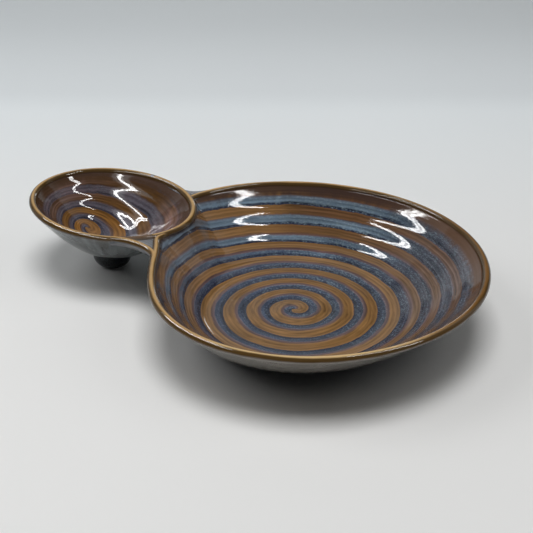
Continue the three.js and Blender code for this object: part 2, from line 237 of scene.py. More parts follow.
def ray_through_bowl(x, y, angle, inset=0.0):
    """Lengths from a point to the near and far side of the bowl's oval: the two roots of the ray put into the
    oval's equation. They are not numbers where the ray misses it."""
    a, b = BOWL_HALF_LENGTH - inset, BOWL_HALF_WIDTH - inset
    way = np.stack([np.cos(angle) / a, np.sin(angle) / b])
    start_x, start_y = (x - BOWL_X) / a, (y - BOWL_SIDE) / b
    along = -(start_x * way[0] + start_y * way[1])
    square = (way**2).sum(0)
    under = along**2 - square * (start_x**2 + start_y**2 - 1)
    reach = np.sqrt(np.where(under >= 0, under, np.nan))
    return (along - reach) / square, (along + reach) / square


def distance_to_bowl(angle):
    """Length from the dish's axis to the bowl's rim line, or a very long way where the ray misses it."""
    near, _ = ray_through_bowl(0.0, 0.0, angle)
    return np.where(np.nan_to_num(near, nan=-1.0) > 0, near, FAR_AWAY)


def free_radius(angle):
    """Radius of the dish's rim as thrown and pinched: a circle less a lopsided bell."""
    front = np.mod(angle - PINCH_ANGLE, TURN) < np.pi
    spread = np.where(front, PINCH_SPREAD_FRONT, PINCH_SPREAD_BACK)
    return DISH_CREST - PINCH_DEPTH * bell(angle, PINCH_ANGLE, spread)


def under_bowl(angle):
    """Share of the way that the dish's rim has gone under the bowl's rim."""
    return ease((free_radius(angle) - distance_to_bowl(angle)) / CORNER_BLEND + 0.5)


def dish_rim(angle):
    """Top line of the dish's rim: the pinched circle, rounded off by the bowl's rim and tucked under it."""
    radius = rounded_min(free_radius(angle), distance_to_bowl(angle), CORNER_BLEND)
    own = DISH_HEIGHT + JOIN_LIFT * bell(angle, JOIN_ANGLE, JOIN_SPREAD)
    seat = bowl_rim_height(radius * np.cos(angle)) - SEAM_TUCK
    return polar(radius, angle, mix(own, seat, under_bowl(angle)))


def smoothed(ring, spread):
    """Values round a circle, smoothed by a bell curve: their Fourier series times the series of the bell."""
    count = ring.shape[-1]
    waves = np.fft.rfftfreq(count, 1 / count)
    return np.fft.irfft(np.fft.rfft(ring) * np.exp(-0.5 * (waves * spread) ** 2), count)


def length_along(points):
    """Length along a line of points, from the running sum of its chords."""
    return np.cumsum(np.linalg.norm(np.diff(points, axis=0, prepend=points[:1]), axis=-1))


def even_rim(count):
    """Angles at even steps along the dish's rim, and the same smoothed, for the circle at the wall's foot."""
    fine = np.linspace(0, TURN, EVEN_STEPS)
    gone = length_along(dish_rim(fine))
    angle = np.interp(np.linspace(0, gone[-1], count, endpoint=False), gone, fine)
    trend = turn_steps(count)
    return angle[None], (trend + smoothed(angle - trend, STEP_SPREAD))[None]


def eased_corners(edge, share):
    """Rows of a wall's upper edge: the edge itself for the top row, and for lower rows the edge smoothed
    along its length, mixed by the cube of the share."""
    soft = smoothed(edge[0].T, CORNER_SPREAD).T[None]
    return mix(soft, edge, share[..., None] ** 3)


def along_rim(rim, angle):
    """A small step along a rim."""
    return rim(angle + RIM_STEP) - rim(angle - RIM_STEP)


def unit(vectors):
    return vectors / np.linalg.norm(vectors, axis=-1, keepdims=True)


def square_to(along):
    """Level direction square to a line, on its right."""
    return unit(np.stack([along[..., 1], -along[..., 0], 0 * along[..., 0]], -1))


def outward(rim, angle):
    """Level direction out of a rim, square to it."""
    return square_to(along_rim(rim, angle))


def lip_point(rim, angle, roll, radius=LIP):
    """Point on the round lip under a rim line: roll 0 is its inner side and a half turn its outer side."""
    level = np.asarray(radius * np.cos(roll) + 0 * angle)
    point = rim(angle) - outward(rim, angle) * level[..., None]
    point[..., 2] += radius * (np.sin(roll) - 1)
    return point


def dish_lip(angle):
    """Radius of the dish's lip, thinner along the divider."""
    return LIP - SEAM_TUCK * under_bowl(angle)


# Meshes


def add(name, data):
    """A new object in the scene."""
    thing = bpy.data.objects.new(name, data)
    bpy.context.scene.collection.objects.link(thing)
    return thing


def smooth_mesh(name, points, faces):
    mesh = bpy.data.meshes.new(name)
    mesh.from_pydata(points.tolist(), [], faces)
    mesh.polygons.foreach_set("use_smooth", np.ones(len(mesh.polygons), bool))
    return mesh


def closed_surface(name, rings, first, last, values):
    """A closed mesh through rings of points, each a row of the array, from a first to a last point. Every
    value, a number or an array over the rings, becomes a point attribute; the end points take the mean of the
    ring beside them."""
    rows, steps = rings.shape[:2]
    points = np.concatenate([[first], rings.reshape(-1, 3), [last]]) * MM
    at = 1 + np.arange(rows * steps).reshape(rows, steps)
    here, there = at[:-1], at[1:]
    quads = np.stack([here, there, np.roll(there, -1, 1), np.roll(here, -1, 1)], -1).reshape(-1, 4)
    start = np.stack([np.zeros(steps, int), at[0], np.roll(at[0], -1)], -1)
    end = np.stack([np.full(steps, rows * steps + 1), np.roll(at[-1], -1), at[-1]], -1)
    mesh = smooth_mesh(name, points, quads.tolist() + start.tolist() + end.tolist())
    for key, value in values.items():
        value = np.asarray(value, float)
        wide = value.ndim == 3
        full = np.broadcast_to(value, (rows, steps, 3) if wide else (rows, steps))
        flat = full.reshape(rows * steps, -1)
        flat = np.concatenate([[flat[:steps].mean(0)], flat, [flat[-steps:].mean(0)]])
        attribute = mesh.attributes.new(key, "FLOAT_VECTOR" if wide else "FLOAT", "POINT")
        attribute.data.foreach_set("vector" if wide else "value", flat.astype(np.float32).ravel())
    mesh.update()
    return add(name, mesh)


def shares(count):
    """Shares from one step up to 1, as a column."""
    return (np.arange(count) + 1)[:, None] / count


def flow(angle, along, width):
    """Coordinates for streaks that run down a wall: round a circle of a width, and slowly along the wall."""
    slow = 0.12
    rows = np.broadcast_arrays(width * np.cos(angle), width * np.sin(angle), along * slow)
    return np.stack(rows, -1) * MM


# Glaze values of the thrown pieces


def ridge(distance, angle, pitch, turn):
    """Phase of the spiral ridge at a distance along the wall: a turn per pitch, less the angle itself."""
    return TURN * distance / pitch - angle + turn


def painted_reflection(angle, climb, strength, centre, spread, start, run):
    """A painted reflection on a wall, as a pale patch: a bell round it, eased in up it."""
    return strength * bell(angle, centre, spread) * ease((climb - start) / run)


def filled(values, rows, fill):
    """Values of the first rows, followed by rows of one value."""
    return np.concatenate([values, np.full((rows - len(values), values.shape[1]), fill)])


def thrown_values(rows, phase, climb, pale, roll, below_lip, bare, streaks):
    """Attributes of a thrown piece from those of its inside. Past the lip the ridge phase stays as it was
    at the lip, and the inside's glaze fades out over the lip, from a fifth of the way round it."""
    held = np.concatenate([phase, np.repeat(phase[-1:], rows - len(phase), 0)])
    full_share = 0.2
    over_lip = ease(1 + full_share - roll / np.pi) + 0 * phase[:1]
    return {
        "groove": np.cos(held),
        "flank": np.sin(held),
        "wall": filled(climb, rows, 1.0),
        "below_lip": np.concatenate(below_lip),
        "inner_side": filled(np.concatenate([np.ones_like(phase), over_lip]), rows, 0.0),
        "plain": filled(pale, rows, 0.0),
        "bare": bare,
        "flow": streaks,
    }


def wall_lengths(share, distance, roll, lip_radius, out_share, inside_run, outside_run):
    """Lengths below the lip and lengths along the wall, each for the rows of the inside, lip and outside."""
    arc = roll * lip_radius
    quarter = lip_radius * np.pi / 2
    below = [(1 - share) * inside_run + quarter, np.abs(arc - quarter), quarter + out_share * outside_run]
    end = distance[-1:]
    return below, [distance, end + arc, end + LIP_RUN + out_share * outside_run]


def bare_base(rings, base):
    """1 on the last rows of a piece, where it was wiped to stand on, and 0 above."""
    bare = np.zeros((len(rings), 1))
    bare[-len(base) - BARE_EDGE_ROWS :] = 1
    return bare


# Dish


def dish_inside(angle, low_angle, lip_radius):
    """Level floor and hyperbola wall, both waved by a cosine of the ridge phase. Gives the points, their
    distance from the middle along the surface, their share of the wall and the phase."""
    floor_distance = shares(DISH_FLOOR_ROWS) * DISH_FLOOR_RADIUS + 0 * angle
    floor = polar(floor_distance, low_angle, DISH_FLOOR_THICKNESS)
    wall_share = shares(DISH_WALL_ROWS)
    top = eased_corners(lip_point(dish_rim, angle, 0.0, lip_radius), wall_share)
    foot = polar(DISH_FLOOR_RADIUS, low_angle, 0.0)
    rise = round_wall(wall_share, DISH_ROUNDNESS) * (top[..., 2] - DISH_FLOOR_THICKNESS)
    wall = mix(foot, top, wall_share[..., None])
    run = np.hypot(wall[..., 0] - foot[..., 0], wall[..., 1] - foot[..., 1])
    wall[..., 2] = DISH_FLOOR_THICKNESS + rise

    points = np.concatenate([floor, wall])
    distance = np.concatenate([floor_distance, DISH_FLOOR_RADIUS + np.hypot(run, rise)])
    share = np.concatenate([0 * floor_distance, wall_share + 0 * angle])
    around = np.arctan2(points[..., 1], points[..., 0])
    crowd = RIDGE_CROWD
    for more, centre, spread in (RIDGE_CROWD_FAR, RIDGE_CROWD_DIVIDER):
        crowd = crowd + more * bell(around, centre, spread)
    crowded = distance + crowd * ease((distance - DISH_BASE_RADIUS) / RIDGE_CROWD_RUN)
    phase = ridge(crowded, around, DISH_RIDGE_PITCH, DISH_RIDGE_TURN)
    fade = ease(distance / DISH_RIDGE_PITCH) * ease((1 - share) / RIDGE_FADE)
    points[..., 2] -= DISH_RIDGE_HEIGHT / 2 * fade * np.cos(phase + RIDGE_LEAD)
    return points, distance, share, phase


def dish_piece():
    """Inside, lip, outside and base, one after another from the middle of the inside to the middle of the
    base. The outside is a straighter hyperbola down to the trimmed base edge; the base is level with fine
    trimming rings, a cosine of the share of the way to the middle."""
    angle, low_angle = even_rim(DISH_STEPS)
    lip_radius = dish_lip(angle)
    inside, distance, share, phase = dish_inside(angle, low_angle, lip_radius)
    roll = shares(LIP_ROWS) * np.pi
    lip = lip_point(dish_rim, angle, roll, lip_radius)
    out_share = shares(OUTSIDE_ROWS)
    out_top = eased_corners(lip[-1:], 1 - out_share)
    outside = mix(out_top, polar(DISH_BASE_RADIUS, low_angle, DISH_BASE_EDGE), out_share[..., None])
    out_rise = round_wall(1 - out_share, DISH_OUTSIDE_ROUNDNESS)
    outside[..., 2] = DISH_BASE_EDGE + (out_top[..., 2] - DISH_BASE_EDGE) * out_rise
    base_share = shares(DISH_BASE_ROWS)
    base_radius = DISH_BASE_RADIUS - DISH_BASE_EDGE / 2
    base = polar(base_radius * (1 - base_share * TRIM_REACH), low_angle, 0.0)
    base[..., 2] += TRIM_HEIGHT / 2 * (1 - np.cos(base_share * TRIM_RINGS * TURN))
    rings = np.concatenate([inside, lip, outside, base])

    climb = np.clip((distance - DISH_FLOOR_RADIUS) / DISH_WALL_LENGTH, 0, 1)
    around = np.arctan2(inside[..., 1], inside[..., 0])
    # painted reflections of the room, pale on the right and left walls of the dish
    pale = painted_reflection(around, climb, *RIGHT_PAINTED_REFLECTION) + painted_reflection(around, climb, *LEFT_PAINTED_REFLECTION)
    runs = (DISH_INSIDE_RUN, DISH_OUTSIDE_RUN)
    below, along = wall_lengths(share, distance, roll, lip_radius, out_share, *runs)
    below[0] += JOIN_CLEAR * bell(angle, JOIN_ANGLE, JOIN_CLEAR_SPREAD) * ease((1 - share) / JOIN_CLEAR_SHARE)
    below.append(np.full(base.shape[:2], DISH_OUTSIDE_RUN + LIP_RUN))
    along.append(BASE_START + base_share * BASE_RUN + 0 * angle)
    streaks = flow(low_angle, np.concatenate(along), DISH_CREST)
    values = thrown_values(len(rings), phase, climb, pale, roll, below, bare_base(rings, base), streaks)
    first = np.array([0, 0, DISH_FLOOR_THICKNESS])
    return closed_surface("dish", rings, first, np.zeros(3), values)


# Dip bowl


def bowl_inside_height(x, y):
    """Height of the bowl's inside over a point of the plan: a hyperbola from the lowest point to the lip."""
    angle = np.arctan2(y - BOWL_LOW[1], x - BOWL_LOW[0])
    _, reach = ray_through_bowl(BOWL_LOW[0], BOWL_LOW[1], angle, LIP)
    share = np.minimum(np.hypot(x - BOWL_LOW[0], y - BOWL_LOW[1]) / reach, 1)
    rise = bowl_rim_height(x) - LIP - BOWL_FLOOR_HEIGHT
    return BOWL_FLOOR_HEIGHT + rise * round_wall(share, BOWL_ROUNDNESS)


def bowl_underside(angle, share):
    """Point on the bowl's underside: from lowest point to lip, straight in plan and a hyperbola in height."""
    top = lip_point(bowl_rim, angle, np.pi)
    point = mix(BOWL_LOW, top, np.asarray(share)[..., None])
    point[..., 2] = BOWL_LOW[2] + (top[..., 2] - BOWL_LOW[2]) * round_wall(share, BOWL_ROUNDNESS)
    return point


def crossing(way):
    """Angle on the dish's rim where it crosses the bowl's rim, one way round from the middle of the
    divider: the first place where the dish's own circle is the shorter of the two."""
    angle = np.pi + way * np.linspace(0, np.pi / 2, CROSSING_STEPS)
    return angle[np.argmax(free_radius(angle) < distance_to_bowl(angle))]


def crossing_on_bowl(way):
    """Angle on the bowl's oval at the same crossing."""
    x, y, _ = dish_rim(np.array(crossing(way)))
    return np.arctan2((y - BOWL_SIDE) / BOWL_HALF_WIDTH, (x - BOWL_X) / BOWL_HALF_LENGTH)


def walk(rim, start, way, length):
    """Angle on a rim after a length along it."""
    angle = start + way * np.linspace(0, WALK_REACH, WALK_STEPS)
    return angle[np.searchsorted(length_along(rim(angle)), length)]


def front_of_join(angle):
    """1 along the stretch of the bowl's rim that the front web covers, fading at both ends."""
    corner = crossing_on_bowl(1)
    end = walk(bowl_rim, corner, -1, FRONT_WEB["along_bowl"])
    share = np.mod(corner - angle, TURN) / (corner - end)
    start, fade_in, fade_out = 0.12, 0.15, 0.2
    return ease((share - start) / fade_in) * ease((1 - share) / fade_out)


def bowl_piece():
    """Inside, lip and underside. Rows of the inside spread from the start of the spiral to the lip, so the
    rings lie off-centre as the thrown ones do; their height is that of the hollow, waved by a cosine of the
    ridge phase."""
    angle = turn_steps(BOWL_STEPS)[None, :]
    start = np.array([BOWL_X - BOWL_RIDGE_SHIFT, BOWL_SIDE, 0.0])
    share = shares(BOWL_INSIDE_ROWS)
    inside = mix(start, lip_point(bowl_rim, angle, 0.0), share[..., None])
    mean_radius = (BOWL_HALF_LENGTH + BOWL_HALF_WIDTH) / 2 - LIP
    distance = share * mean_radius + 0 * angle
    smooth = ease((inside[..., 0] - BOWL_X - BOWL_SMOOTH_START) / BOWL_SMOOTH_RUN)
    phase = ridge(distance, angle, BOWL_RIDGE_PITCH, BOWL_RIDGE_TURN)
    fade = ease(distance / BOWL_RIDGE_PITCH) * ease((1 - share) / RIDGE_FADE) * (1 - smooth)
    inside[..., 2] = bowl_inside_height(inside[..., 0], inside[..., 1])
    inside[..., 2] -= BOWL_RIDGE_HEIGHT / 2 * fade * np.cos(phase + RIDGE_LEAD)
    roll = shares(LIP_ROWS) * np.pi
    lip = lip_point(bowl_rim, angle, roll)
    out_share = shares(OUTSIDE_ROWS)[:-1]
    outside = bowl_underside(angle, 1 - out_share + 0 * angle)
    rings = np.concatenate([inside, lip, outside])

    below, along = wall_lengths(share, distance, roll, LIP, out_share, BOWL_RUN, BOWL_RUN)
    below = [rows + WEB_COVER * front_of_join(angle) for rows in below]
    # plain where the ridges are wiped smooth, and a painted reflection high on the bowl's outer end
    pale = np.maximum(smooth, painted_reflection(angle, share, *BOWL_PAINTED_REFLECTION))
    streaks = flow(angle, np.concatenate(along), BOWL_HALF_LENGTH)
    values = thrown_values(len(rings), phase, share + 0 * angle, pale, roll, below, 0.0, streaks)
    first = np.array([*start[:2], bowl_inside_height(*start[:2])])
    return closed_surface("dip_bowl", rings, first, BOWL_LOW, values)


# Foot, webs and coil


def plain_values(rings, below_lip, along, width, bare):
    """Attributes of a piece with no spiral on it: its length below a lip, its length along and width round
    for the streaks, and where it is bare."""
    return {
        "groove": 1.0,
        "flank": 0.0,
        "wall": 1.0,
        "below_lip": below_lip,
        "inner_side": 0.0,
        "plain": 0.0,
        "bare": bare,
        "flow": flow(turn_steps(rings.shape[1])[None, :], along, width),
    }


def foot_piece():
    """A nub of clay: a circle that swells on a quarter ellipse from its flat to its full width, runs on up
    into the bowl, and is pressed a little out of round."""
    angle = turn_steps(FOOT_STEPS)[None, :]
    x = BOWL_X - FOOT_SHIFT
    oval, oval_turn, knobs = 0.02, 0.7, 0.012
    pressed = 1 + oval * np.cos(2 * angle + oval_turn) + knobs * np.cos(5 * angle)
    stem_height = mix(FOOT_TOP, FOOT_BULGE_HEIGHT, shares(FOOT_STEM_ROWS))
    stem = polar(FOOT_RADIUS * pressed, angle, stem_height)
    roll = (1 - shares(FOOT_BULGE_ROWS)) * np.pi / 2
    bulge_radius = FOOT_FLAT_RADIUS + (FOOT_RADIUS - FOOT_FLAT_RADIUS) * np.sin(roll)
    bulge = polar(bulge_radius * pressed, angle, FOOT_BULGE_HEIGHT * (1 - np.cos(roll)))
    flat_reach = 0.95
    flat = polar(FOOT_FLAT_RADIUS * pressed * (1 - flat_reach * shares(FOOT_FLAT_ROWS)), angle, 0.0)
    rings = np.concatenate([stem, bulge, flat])
    rings[..., 0] += x
    row = np.arange(len(rings))[:, None]
    values = plain_values(rings, below_lip=30.0, along=row, width=15.0, bare=bare_base(rings, flat))
    return closed_surface("bowl_foot", rings, np.array([x, 0, FOOT_TOP]), np.array([x, 0, 0.0]), values)


def web_piece(name, way, along_bowl, along_dish, edge_drop, bead_below):
    """A web between the two rims. Its outer edge is a Hermite curve that leaves the bowl's rim and joins the
    dish's rim along their tangents; its section is a sunken plate, a round bead on that edge, and a rounded
    underside, carried from the bowl to the dish."""
    corner = crossing(way)
    corner_on_bowl = crossing_on_bowl(way)
    end_dish = walk(dish_rim, corner, way, along_dish)
    end_bowl = walk(bowl_rim, corner_on_bowl, -way, along_bowl)
    v = np.linspace(0, 1, WEB_ROWS)[:, None]
    start, end = bowl_rim(np.array(end_bowl)), dish_rim(np.array(end_dish))
    pull = way * np.linalg.norm(end - start)
    leave = unit(along_rim(bowl_rim, end_bowl)) * pull
    arrive = unit(along_rim(dish_rim, end_dish)) * pull
    edge = start * (2 * v**3 - 3 * v**2 + 1) + leave * (v**3 - 2 * v**2 + v)
    edge = edge + end * (3 * v**2 - 2 * v**3) + arrive * (v**3 - v**2)
    edge[:, 2] = mix(start[2], end[2], ease(v[:, 0])) - edge_drop * np.sin(np.pi * v[:, 0]) ** 2
    out = square_to(np.gradient(edge, axis=0)) * way

    plate_share = np.linspace(0.0, 1.0, WEB_PLATE_STEPS)[None, :-1, None]
    on_bowl = bowl_rim(mix(corner_on_bowl, end_bowl, plate_share[0, :, 0]))
    on_dish = dish_rim(mix(corner, end_dish, plate_share[0, :, 0]))
    plate = mix(on_bowl[None], on_dish[None], v[:, None])
    inner_edge = (edge - out * WEB_BEAD)[:, None]
    plate = plate + plate_share**2 * (inner_edge - mix(start, end, v)[:, None])
    plate[..., 2] = mix(plate[..., 2], edge[:, None, 2], plate_share[..., 0] ** 2)
    plate[..., 2] -= mix(WEB_SINK, WEB_BEAD, plate_share[..., 0])
    roll = np.linspace(0, np.pi, WEB_BEAD_STEPS)[None, :, None]
    over = edge[:, None] - out[:, None] * WEB_BEAD * np.cos(roll)
    over[..., 2] += WEB_BEAD * (np.sin(roll[..., 0]) - 1)
    under_roll = np.linspace(0, np.pi / 2, WEB_UNDER_STEPS)[None, 1:, None]
    tuck = WEB_DEPTH - WEB_BEAD
    under = edge[:, None] + out[:, None] * (WEB_BEAD - tuck * (1 - np.cos(under_roll)))
    under[..., 2] -= WEB_BEAD + tuck * np.sin(under_roll[..., 0])
    back = plate[:, ::-2].copy()
    back[..., 2] -= WEB_DEPTH - WEB_SINK
    rings = np.concatenate([plate, over, under, back], 1)
    on_bead = np.abs(roll[0, :, 0] - np.pi / 2) * WEB_BEAD + bead_below
    on_plate = np.full(plate.shape[1], WEB_PLATE_BELOW)
    on_under = np.full(under.shape[1] + back.shape[1], WEB_UNDER_BELOW)
    below = np.concatenate([on_plate, on_bead, on_under])[None]
    if way > 0:
        rings, below = rings[:, ::-1], below[:, ::-1]
    values = plain_values(rings, below, along=20.0, width=30.0, bare=0.0)
    return closed_surface(name, rings, rings[0].mean(0), rings[-1].mean(0), values)


def coil_piece():
    """A round coil carried along the seam under the bowl's rim. Its radius goes in and out by a cosine, as a
    finger pressed it, and narrows at both ends by the root of one less an eighth power."""
    first, last = (walk(bowl_rim, crossing_on_bowl(way), way, COIL_END_ROOM) for way in (1, -1))
    share = np.linspace(0, 1, COIL_ROWS)
    angle = mix(first, last, share)
    edge = bowl_underside(angle, np.ones_like(angle))
    inset = 1 - COIL_INSET / np.hypot(edge[:, 0] - BOWL_LOW[0], edge[:, 1] - BOWL_LOW[1])
    middle = bowl_underside(angle, inset)
    middle[:, 2] -= COIL_DROP
    end_taper = np.sqrt(np.clip(1 - np.abs(2 * share - 1) ** 8, 0, 1))
    pressed = 1 - COIL_PRESS_DEPTH / 2 * (1 - np.cos(COIL_PRESSES * TURN * share))
    least = 0.05
    radius = COIL_RADIUS * pressed * np.maximum(end_taper, least)
    roll = turn_steps(COIL_STEPS)[None, :, None]
    rings = middle[:, None] + outward(bowl_rim, angle)[:, None] * (radius[:, None, None] * np.cos(roll))
    rings[..., 2] += radius[:, None] * np.sin(roll[..., 0])
    values = plain_values(rings, below_lip=40.0, along=share[:, None] * 80.0, width=10.0, bare=0.0)
    return closed_surface("seam_coil", rings, middle[0], middle[-1], values)


# Material building


class Wiring:
    """Puts nodes into one node tree. A socket given as an input is linked, anything else is its value."""

    def __init__(self, tree):
        self.tree = tree

    def fill(self, socket, value):
        if isinstance(value, bpy.types.NodeSocket):
            self.tree.links.new(value, socket)
        elif socket.type == "RGBA":
            socket.default_value = (*value[:3], 1.0)
        else:
            socket.default_value = value

    def put(self, kind, inputs=None, **settings):
        node = self.tree.nodes.new(kind)
        for key, value in settings.items():
            setattr(node, key, value)
        for key, value in (inputs or {}).items():
            self.fill(node.inputs[key], value)
        return node

    def attribute(self, name, output="Fac"):
        return self.put("ShaderNodeAttribute", attribute_name=name).outputs[output]

    def maths(self, operation, a, b=0.0, c=0.0):
        return self.put("ShaderNodeMath", {0: a, 1: b, 2: c}, operation=operation).outputs[0]

    def times(self, a, b):
        return self.maths("MULTIPLY", a, b)

    def times_plus(self, a, b, c):
        return self.maths("MULTIPLY_ADD", a, b, c)

    def centred(self, noise):
        return self.maths("SUBTRACT", noise, 0.5)

    def dot(self, place, way):
        """Length of a place along a way."""
        return self.put("ShaderNodeVectorMath", {0: place, 1: way}, operation="DOT_PRODUCT").outputs["Value"]

    def axis(self, place, name):
        return self.put("ShaderNodeSeparateXYZ", {0: place}).outputs[name]

    def remap(self, value, low, high, to_low=0.0, to_high=1.0):
        """Smooth step of a value between two limits."""
        inputs = {"Value": value, "From Min": low, "From Max": high, "To Min": to_low, "To Max": to_high}
        return self.put("ShaderNodeMapRange", inputs, interpolation_type="SMOOTHSTEP").outputs["Result"]

    def between(self, value, start, end):
        """Two smooth steps multiplied: up over the first pair of limits and down over the second."""
        return self.times(self.remap(value, *start), self.remap(value, *end))

    def noise(self, where, scale, detail, roughness, distortion=0.0):
        inputs = {"Vector": where, "Scale": scale, "Detail": detail}
        inputs |= {"Roughness": roughness, "Distortion": distortion}
        return self.put("ShaderNodeTexNoise", inputs).outputs["Fac"]

    def blend(self, share, a, b, kind="MIX"):
        node = self.put("ShaderNodeMix", data_type="RGBA", blend_type=kind)
        for socket, value in ((node.inputs[0], share), (node.inputs[6], a), (node.inputs[7], b)):
            self.fill(socket, value)
        return node.outputs[2]

    def use(self, tree, inputs):
        """Places a group and returns its outputs."""
        return self.put("ShaderNodeGroup", inputs, node_tree=tree).outputs


def group(name, inputs, outputs, build):
    """A shader node group with named sockets, filled by a function of its inputs that returns its outputs."""
    tree = bpy.data.node_groups.new(name, "ShaderNodeTree")
    for way, sockets in (("INPUT", inputs), ("OUTPUT", outputs)):
        for key, kind in sockets.items():
            tree.interface.new_socket(key, in_out=way, socket_type=kind)
    wiring = Wiring(tree)
    start = wiring.put("NodeGroupInput")
    end = wiring.put("NodeGroupOutput")
    for key, value in build(wiring, start.outputs).items():
        wiring.fill(end.inputs[key], value)
    return tree


FLOAT = "NodeSocketFloat"
COLOUR = "NodeSocketColor"
VECTOR = "NodeSocketVector"

# Glaze colours, and the colours of painted light and shade, linear
# GOLD: the glaze's amber break on the lips, kept bright as a painted highlight on the crest
GOLD = (0.490, 0.295, 0.110)
SHADED_GOLD = (0.205, 0.098, 0.027)
HIGHLIGHT_GOLD = (0.680, 0.465, 0.215)
OLIVE = (0.085, 0.046, 0.012)
SOOT = (0.002, 0.0022, 0.0025)
PALE_TEAL = (0.200, 0.265, 0.300)
CLAY = (0.110, 0.072, 0.050)
CLAY_DARK = (0.060, 0.040, 0.030)
LOW_DARK = (0.0075, 0.0065, 0.006)
PAINTED_LIGHT_GREY = (0.330, 0.300, 0.265)
RUST = (0.135, 0.070, 0.038)
MAROON = (0.048, 0.028, 0.023)
PLUM = (0.080, 0.041, 0.020)
SMOKE = (0.084, 0.082, 0.078)
GREY = (0.170, 0.162, 0.150)
BROWN_GREY = (0.160, 0.132, 0.106)
BLUE_GREY = (0.215, 0.210, 0.215)
SLATE = (0.064, 0.072, 0.086)
SEA_GREY = (0.165, 0.182, 0.184)
DISH_COLOURS = {
    "Crest": (0.218, 0.115, 0.040),
    "High crest": (0.122, 0.060, 0.026),
    "Deep": (0.012, 0.015, 0.036),
    "Pool": (0.050, 0.066, 0.115),
    "High pool": (0.115, 0.166, 0.222),
    "Change": (0.092, 0.060, 0.076),
    # Even: the pale colour of the painted reflections
    "Even": (0.225, 0.185, 0.190),
}
BOWL_COLOURS = {
    "Crest": (0.240, 0.110, 0.026),
    "High crest": (0.088, 0.040, 0.008),
    "Deep": (0.045, 0.038, 0.054),
    "Pool": (0.104, 0.092, 0.122),
    "High pool": (0.100, 0.086, 0.108),
    "Change": (0.075, 0.050, 0.048),
    # Even: plain glaze where the ridges are wiped smooth, and the colour of the painted reflection
    "Even": (0.185, 0.118, 0.118),
}

# Spiral: limits up the wall, as shares of its height, and the values at them
SWAY = (0.25, 0.8, 0.03, 0.11)
POOL_END = (0.3, 0.75, 0.71, 0.79)
DEEP_END = (0.1, 0.5, 0.60, 0.42)
DUSK_SPREAD = (0.05, 0.4, 0.0, 0.12)
CHANGE_STRENGTH = (0.3, 0.7, 0.8, 0.3)
BROWN_RISE = (0.15, 0.75)
TEAL_RISE = (0.10, 0.6)

# Spiral: limits across a ridge, as shares of the way from crest to crest
POOL_START = (0.265, 0.31)
POOL_EDGE = 0.11
DEEP_START = (0.25, 0.285)
DEEP_FULL = 0.36
CHANGE_START = (0.59, 0.68)
CHANGE_END = (0.85, 0.72)
CLOUD_SHIFT = 0.14
LINE_SHIFT = 0.12

# Spiral: strengths
CLIMB_CLOUD = 0.5
DAWN_BROWNING = 0.25
DUSK_DEEP = 0.85
DUSK_FLECKS = 0.6
DEEP_STRENGTH = 0.95
# the mottle breaks up the plain glaze and the painted reflections
PLAIN_BREAK = (-0.25, 0.15, 0.45, 1.0)  # limits of the mottle, and the values at them
COMB_LINES = 5
COMB_SWAY = 4.0
TONE_COMB = 0.16
TONE_LINE = 1.7
TONE_CLOUD = 0.8
TONE_DAWN = 0.22

# Rim break, by the length below the top of a lip
BAND_REACH = (14.0, 7.0)
BAND_RAGGED = 9.0
BAND_STRENGTH = 0.85
LIP_SIDE = (4.4, 2.8)
LIP_SIDE_CLOUD = 2.0
LIP_TOP = (1.6, 0.2)
LIP_TOP_CLOUD = 1.6

# Limits on the platter, in metres from the dish's axis, between which the glaze changes and the painted light
# and shade come in
RIGHT_WAY = (0.9, 0.45, 0.0)
FRONT_WAY = (0.5, -0.85, 0.0)
DUSK_X = (-0.01, 0.05)
DAWN_X = (-0.03, -0.075)
DAWN_STOP_X = (-0.12, -0.115)
RUST_RIGHT = (0.05, 0.12)
SHADED_GOLD_RIGHT = (0.04, 0.11)
HIGHLIGHT_GOLD_FRONT = (0.085, 0.115)
PAINTED_LIGHT_FRONT = (0.05, 0.11)
DISH_TEAL = ((0.55, 0.80, 0.0), -0.05, 0.08)
BOWL_TEAL = ((0.3, 0.9, 0.0), 0.05, 0.2)

# Lengths below the lip between which the outside turns dark; the small pieces don't reach theirs
DISH_LOW_DARK = (31.0, 48.0)
BOWL_LOW_DARK = (52.0, 72.0)
NO_LOW_DARK = (90.0, 95.0)
LOW_DARK_RAGGED = 12.0

# Outside and surface of the glaze
SMOKE_STREAK = 0.6
SMOKE_CLOUD = 0.5
SMOKE_RANGE = (0.42, 0.68)
OUTSIDE_FLECKS = 0.2
FEWEST_FLECKS = 0.25
GLOSS_ROUGHNESS = (0.3, 0.7, 0.02, 0.05)  # limits of the clouds, and the values at them
SPECKLE_ROUGHNESS = 0.03
BARE_ROUGHNESS = 0.7
SPECKLE_HEIGHT = 0.06


def mottle(w, given):
    """Clouds about a finger wide, speckle under a millimetre, streaks that run down the wall and fine lines
    that run round with the throwing."""
    place = given["Place"]
    grain = w.noise(place, scale=1150.0, detail=2.0, roughness=0.6)
    patch = w.noise(place, scale=210.0, detail=2.0, roughness=0.5)
    patch_share = 0.22
    stretched = (0.035, 0.035, 13.0)
    round_way = w.put("ShaderNodeVectorMath", {0: given["Flow"], 1: stretched}, operation="MULTIPLY")
    return {
        "Cloud": w.noise(place, scale=38.0, detail=3.0, roughness=0.55, distortion=0.4),
        "Speckle": w.remap(w.times_plus(patch, patch_share, grain), low=0.56, high=0.82),
        "Streak": w.noise(given["Flow"], scale=165.0, detail=3.0, roughness=0.6),
        "Line": w.noise(round_way.outputs[0], scale=420.0, detail=3.0, roughness=0.6),
    }


MOTTLES = ("Cloud", "Speckle", "Streak", "Line")
MOTTLE = group("glaze mottle", {"Place": VECTOR, "Flow": VECTOR}, dict.fromkeys(MOTTLES, FLOAT), mottle)


